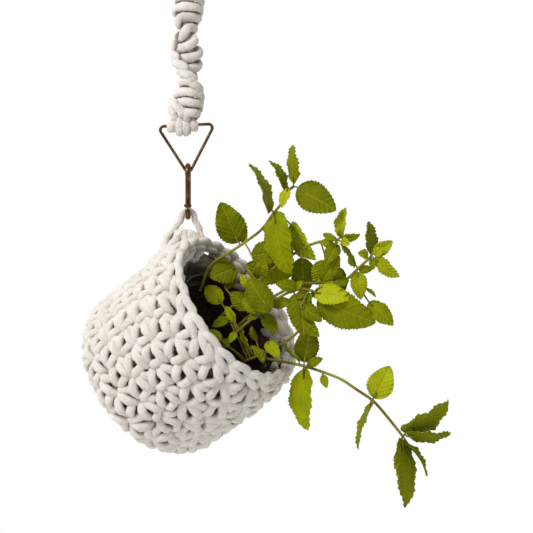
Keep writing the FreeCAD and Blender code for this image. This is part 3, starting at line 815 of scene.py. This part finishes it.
def bumped(tree, shader, height, strength, distance, below=None):
    inputs = {"Height": height, "Strength": strength, "Distance": distance}
    if below is not None:
        inputs["Normal"] = below
    made = node(tree, "Bump", inputs)
    tree.links.new(made.outputs["Normal"], shader.inputs["Normal"])
    return made.outputs["Normal"]


def cotton(name, light, mid, dark, crease_shade=1.0):
    """Soft unbleached cotton: fibres lie along each strand and wind slowly round it.

    The last argument sets the painted shade on the side of a strand that faces into the work: the share of
    the dark colour that is painted there.
    """
    made, tree, shader = start(name, 0.92, Sheen_Weight=0.35, Sheen_Roughness=0.6)
    shader.inputs["Sheen Tint"].default_value = (1.0, 0.98, 0.95, 1)
    mark = node(tree, "Attribute", attribute_name="surface_mark").outputs["Vector"]
    split = node(tree, "SeparateXYZ", {"Vector": mark})
    along = split.outputs["X"]
    winding = node(tree, "Math", {0: along, 1: 0.16}, operation="MULTIPLY").outputs[0]
    wound = node(tree, "VectorRotate", {"Vector": mark, "Angle": winding}, rotation_type="X_AXIS")
    laid = node(tree, "Mapping", {"Vector": wound.outputs[0], "Scale": (0.10, 2.6, 2.6)})
    fibre = node(tree, "TexNoise", {"Vector": laid.outputs[0], "Scale": 2.4, "Detail": 5.0,
                                    "Roughness": 0.62}).outputs["Fac"]
    tuft = node(tree, "TexNoise", {"Vector": place_of(tree), "Scale": 420.0, "Detail": 4.0,
                                   "Roughness": 0.6}).outputs["Fac"]
    cloud = node(tree, "TexNoise", {"Vector": place_of(tree), "Scale": 55.0, "Detail": 3.0}).outputs["Fac"]
    mottled = node(tree, "Mix", {"Factor": 0.5, "A": tuft, "B": cloud}, data_type="FLOAT").outputs[0]
    blend = node(tree, "Mix", {"Factor": 0.55, "A": fibre, "B": mottled}, data_type="FLOAT")
    colour = ramp(tree, blend.outputs[0], [(0.34, dark), (0.46, mid), (0.58, light)])
    # Painted shade: the side of each strand that faces into the work is darkened towards the dark colour.
    if crease_shade < 1:
        inward_shade = node(tree, "MapRange", {"Value": split.outputs["Z"], "From Min": -0.45, "From Max": 0.55,
                                         "To Min": 1.0, "To Max": 0.0}).outputs[0]
        painted_crease_shade = (*(c * crease_shade for c in dark), 1)
        colour = node(tree, "Mix", {"Factor": inward_shade, "A": colour, "B": painted_crease_shade},
                      data_type="RGBA").outputs[2]
    tree.links.new(colour, shader.inputs["Base Color"])
    coarse = bumped(tree, shader, fibre, 0.75, 1.1 * MM)
    bumped(tree, shader, tuft, 0.55, 0.7 * MM, coarse)
    return made


def painted_shade_backing():
    made, tree, shader = start("shade_backing_sheet", 0.95)
    rib = node(tree, "TexWave", {"Vector": place_of(tree), "Scale": 60.0, "Distortion": 3.0, "Detail": 3.0},
               bands_direction="Z")
    cloud = node(tree, "TexNoise", {"Vector": place_of(tree), "Scale": 90.0, "Detail": 4.0}).outputs["Fac"]
    # Painted shade: dark browns that stand for the shade seen through the gaps between the stitches.
    colour = ramp(tree, cloud, [(0.30, (0.15, 0.11, 0.07)), (0.55, (0.28, 0.23, 0.16)),
                                (0.75, (0.44, 0.38, 0.29))])
    tree.links.new(colour, shader.inputs["Base Color"])
    bumped(tree, shader, rib.outputs["Fac"], 0.5, 1.0 * MM)
    return made


def bronze():
    """Dark antique bronze, rubbed lighter in places."""
    made, tree, shader = start("antique_bronze", 0.3, Metallic=1.0)
    place = place_of(tree)
    patina = node(tree, "TexNoise", {"Vector": place, "Scale": 130.0, "Detail": 5.0}).outputs["Fac"]
    drawn = node(tree, "Mapping", {"Vector": place, "Scale": (900.0, 900.0, 120.0)}).outputs[0]
    scratch = node(tree, "TexNoise", {"Vector": drawn, "Scale": 1.0, "Detail": 3.0}).outputs["Fac"]
    colour = ramp(tree, patina, [(0.30, (0.050, 0.025, 0.010)), (0.52, (0.145, 0.078, 0.030)),
                                 (0.74, (0.42, 0.26, 0.14))])
    rough = ramp(tree, patina, [(0.3, (0.42,) * 3), (0.7, (0.22,) * 3)])
    tree.links.new(colour, shader.inputs["Base Color"])
    tree.links.new(rough, shader.inputs["Roughness"])
    bumped(tree, shader, scratch, 0.12, 0.1 * MM)
    return made


def pot_plastic():
    made, tree, shader = start("pot_plastic", 0.5)
    place = place_of(tree)
    dust = node(tree, "TexNoise", {"Vector": place, "Scale": 70.0, "Detail": 5.0}).outputs["Fac"]
    grain = node(tree, "TexNoise", {"Vector": place, "Scale": 1500.0, "Detail": 2.0}).outputs["Fac"]
    colour = ramp(tree, dust, [(0.30, (0.012, 0.005, 0.004)), (0.55, (0.026, 0.010, 0.007)),
                               (0.75, (0.060, 0.028, 0.018))])
    rough = ramp(tree, dust, [(0.3, (0.38,) * 3), (0.7, (0.66,) * 3)])
    tree.links.new(colour, shader.inputs["Base Color"])
    tree.links.new(rough, shader.inputs["Roughness"])
    bumped(tree, shader, grain, 0.2, 0.1 * MM)
    return made


def soil():
    made, tree, shader = start("damp_compost", 0.95, Specular_IOR_Level=0.05)
    place = place_of(tree)
    lump = node(tree, "TexNoise", {"Vector": place, "Scale": 380.0, "Detail": 6.0,
                                   "Roughness": 0.7}).outputs["Fac"]
    bark = node(tree, "TexVoronoi", {"Vector": place, "Scale": 260.0}).outputs["Distance"]
    colour = ramp(tree, lump, [(0.30, (0.004, 0.002, 0.001)), (0.55, (0.016, 0.008, 0.003)),
                               (0.70, (0.045, 0.028, 0.018)), (0.80, (0.12, 0.07, 0.04))])
    tree.links.new(colour, shader.inputs["Base Color"])
    low = bumped(tree, shader, lump, 0.9, 1.5 * MM)
    bumped(tree, shader, bark, 0.5, 1.0 * MM, low)
    return made


def stem_skin():
    made, tree, shader = start("mint_stem_skin", 0.6, Specular_IOR_Level=0.15)
    place = place_of(tree)
    patch = node(tree, "TexNoise", {"Vector": place, "Scale": 45.0, "Detail": 4.0}).outputs["Fac"]
    rib = node(tree, "TexNoise", {"Vector": place, "Scale": 700.0, "Detail": 3.0}).outputs["Fac"]
    colour = ramp(tree, patch, [(0.34, (0.150, 0.100, 0.012)), (0.50, (0.215, 0.205, 0.018)),
                                (0.66, (0.30, 0.31, 0.04))])
    tree.links.new(colour, shader.inputs["Base Color"])
    bumped(tree, shader, rib, 0.3, 0.3 * MM)
    return made


def leaf_skin():
    """Mint leaf: paler midrib and side veins, quilted between them, with patches of lighter green."""
    made, tree, shader = start("mint_leaf_skin", 0.6, Specular_IOR_Level=0.06)
    mark = node(tree, "SeparateXYZ", {"Vector": node(
        tree, "Attribute", attribute_name="surface_mark").outputs["Vector"]})
    aside = node(tree, "Math", {0: mark.outputs["Y"]}, operation="ABSOLUTE").outputs[0]
    rib = node(tree, "MapRange", {"Value": aside, "From Min": 0.15, "From Max": 0.75,
                                  "To Min": 1.0, "To Max": 0.0}).outputs[0]
    back = node(tree, "Math", {0: aside, 1: 0.85}, operation="MULTIPLY").outputs[0]
    slant = node(tree, "Math", {0: mark.outputs["X"], 1: back}, operation="SUBTRACT").outputs[0]
    turn = node(tree, "Math", {0: slant, 1: TAU / 4.6}, operation="MULTIPLY").outputs[0]
    wave = node(tree, "Math", {0: turn}, operation="COSINE").outputs[0]
    vein = node(tree, "MapRange", {"Value": wave, "From Min": 0.86, "From Max": 1.0}).outputs[0]
    lines = node(tree, "Math", {0: rib, 1: vein}, operation="MAXIMUM").outputs[0]
    place = place_of(tree)
    cloud = node(tree, "TexNoise", {"Vector": place, "Scale": 85.0, "Detail": 5.0}).outputs["Fac"]
    cell = node(tree, "TexVoronoi", {"Vector": place, "Scale": 520.0}).outputs["Distance"]
    tone = node(tree, "Mix", {"Factor": 0.62, "A": cloud, "B": mark.outputs["Z"]}, data_type="FLOAT")
    colour = ramp(tree, tone.outputs[0], [(0.20, (0.115, 0.130, 0.0)), (0.42, (0.185, 0.210, 0.0)),
                                          (0.62, (0.310, 0.340, 0.001)), (0.82, (0.43, 0.47, 0.01))])
    veined = node(tree, "Mix", {"A": colour, "B": (0.36, 0.39, 0.02, 1)}, data_type="RGBA")
    faint = node(tree, "Math", {0: lines, 1: 0.45}, operation="MULTIPLY").outputs[0]
    tree.links.new(faint, veined.inputs["Factor"])
    tree.links.new(veined.outputs[2], shader.inputs["Base Color"])
    sunk = node(tree, "Math", {0: 1.0, 1: lines}, operation="SUBTRACT").outputs[0]
    low = bumped(tree, shader, sunk, 0.6, 0.45 * MM)
    bumped(tree, shader, cell, 0.6, 0.6 * MM, low)
    return made


def floor_paint():
    made, tree, shader = start("pale_floor", 0.9)
    cloud = node(tree, "TexNoise", {"Vector": place_of(tree), "Scale": 3.0, "Detail": 2.0}).outputs["Fac"]
    colour = ramp(tree, cloud, [(0.3, (0.80, 0.80, 0.79)), (0.7, (0.84, 0.84, 0.83))])
    tree.links.new(colour, shader.inputs["Base Color"])
    return made


def dress(piece, material):
    piece.data.materials.clear()
    piece.data.materials.append(material)


def dress_node(name, material):
    target = nodes[name]
    if not target.material_slots:
        target.data.materials.append(material)
    for place in target.material_slots:
        place.material = material


# Stage and light -------------------------------------------------------------------------------
def stage():
    floor = bpy.data.objects.new("floor", bpy.data.meshes.new("floor"))
    size, level = 0.75, -0.62
    floor.data.from_pydata([(-size, -size, level), (size, -size, level), (size, size, level),
                            (-size, size, level)], [], [(0, 1, 2, 3)])
    bpy.context.scene.collection.objects.link(floor)
    dress(floor, floor_paint())


LIT_PLACE = Vector((0.03, 0, -0.30))


def light(name, place, power, size):
    lamp = bpy.data.lights.new(name, "AREA")
    lamp.energy = power
    lamp.size = size
    holder = bpy.data.objects.new(name, lamp)
    holder.location = place
    aim = LIT_PLACE - holder.location
    holder.rotation_euler = aim.to_track_quat("-Z", "Y").to_euler()
    bpy.context.scene.collection.objects.link(holder)


def surroundings():
    """White behind the object; dimmer from below, from the right and from the front."""
    world = bpy.data.worlds.new("studio")
    world.use_nodes = True
    bpy.context.scene.world = world
    tree = world.node_tree
    way = node(tree, "SeparateXYZ", {"Vector": node(tree, "TexCoord").outputs["Generated"]})
    shade = None
    # Along each axis, the brightness goes from one value to another between two places.
    for axis, low, high, at_low, at_high in (("Z", -0.75, -0.15, 0.22, 1.0), ("X", 0.15, 0.85, 1.0, 0.60),
                                             ("Y", -0.6, 0.3, 0.60, 1.0)):
        part = node(tree, "MapRange", {"Value": way.outputs[axis], "From Min": low, "From Max": high,
                                       "To Min": at_low, "To Max": at_high}).outputs[0]
        shade = part if shade is None else node(tree, "Math", {0: shade, 1: part},
                                                operation="MULTIPLY").outputs[0]
    sky = ramp(tree, shade, [(0.0, (0.0, 0.0, 0.0)), (1.0, (1.0, 1.0, 1.0))])
    tree.links.new(sky, tree.nodes["Background"].inputs["Color"])
    tree.nodes["Background"].inputs["Strength"].default_value = 1.0
    bpy.context.scene.view_settings.view_transform = "Standard"


# Build -----------------------------------------------------------------------------------------
PALE, MIDDLE, DULL = (0.86, 0.815, 0.75), (0.77, 0.715, 0.64), (0.54, 0.475, 0.395)
rope = cotton("unbleached_cotton", PALE, MIDDLE, DULL)
for piece in (basket_loop(), *hitches()):
    dress(piece, rope)
# worked_cotton and edging_cotton carry painted shade on the inward sides of their strands.
worked = cotton("worked_cotton", PALE, MIDDLE, DULL, crease_shade=0.55)
for piece in (strap(), *wall_stitches(PodMap()), crown()):
    dress(piece, worked)
dress(mouth_edging(), cotton("edging_cotton", PALE, MIDDLE, DULL, crease_shade=0.95))
dress(wall_backing(), painted_shade_backing())

metal = bronze()
for name in ("hanging_ring", "triangle_ring", "clip_body", "clip_pin", "clip_gate", "gate_spring"):
    dress_node(name, metal)

STEMS = ("upright", "back", "side", "middle", "low", "trailing")
green, bark = leaf_skin(), stem_skin()
growth = random.Random(11)
for stem in STEMS:
    leaves, stalks = leaf_bunch(stem, growth)
    dress(leaves, green)
    dress(stalks, bark)
    dress_node(f"mint_stem_{stem}", bark)

earth = soil()
dress(compost(), earth)
dress_node("potting_soil", earth)
dress_node("nursery_pot", pot_plastic())

stage()
light("key", place=(-1.0, -1.2, 0.95), power=24, size=0.6)
surroundings()
